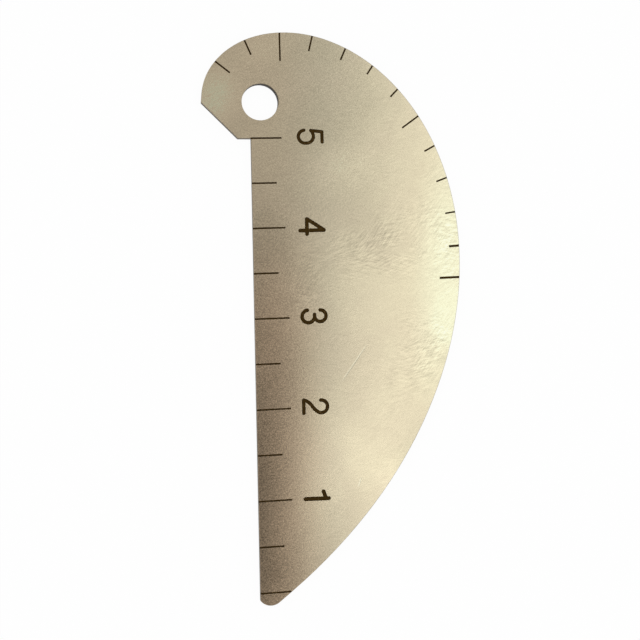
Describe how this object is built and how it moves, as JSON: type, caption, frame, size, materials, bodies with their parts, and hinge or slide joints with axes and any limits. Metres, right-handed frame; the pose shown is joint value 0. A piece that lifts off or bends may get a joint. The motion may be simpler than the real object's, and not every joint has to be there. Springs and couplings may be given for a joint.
{
  "type": "fillet weld gauge",
  "caption": "Flat spiral throat gauge for fillet welds: a half-moon plate with a marked curved edge, a straight edge with a rule, and a hanging hole.",
  "frame": {"origin": "on the axis of the hanging hole, on the unmarked back face", "axes": "+Z out of the marked face, +X away from the straight edge towards the curved edge, +Y along the straight edge towards the head with the hole"},
  "size_m": [0.0289, 0.0632, 0.0008],
  "materials": {
    "plate_steel": "satin sheet stainless with a warm cloudy patina; engraved marks filled dark brown"
  },
  "bodies": {
    "root": {"gauge_plate": "plate_steel"}
  },
  "joints": []
}
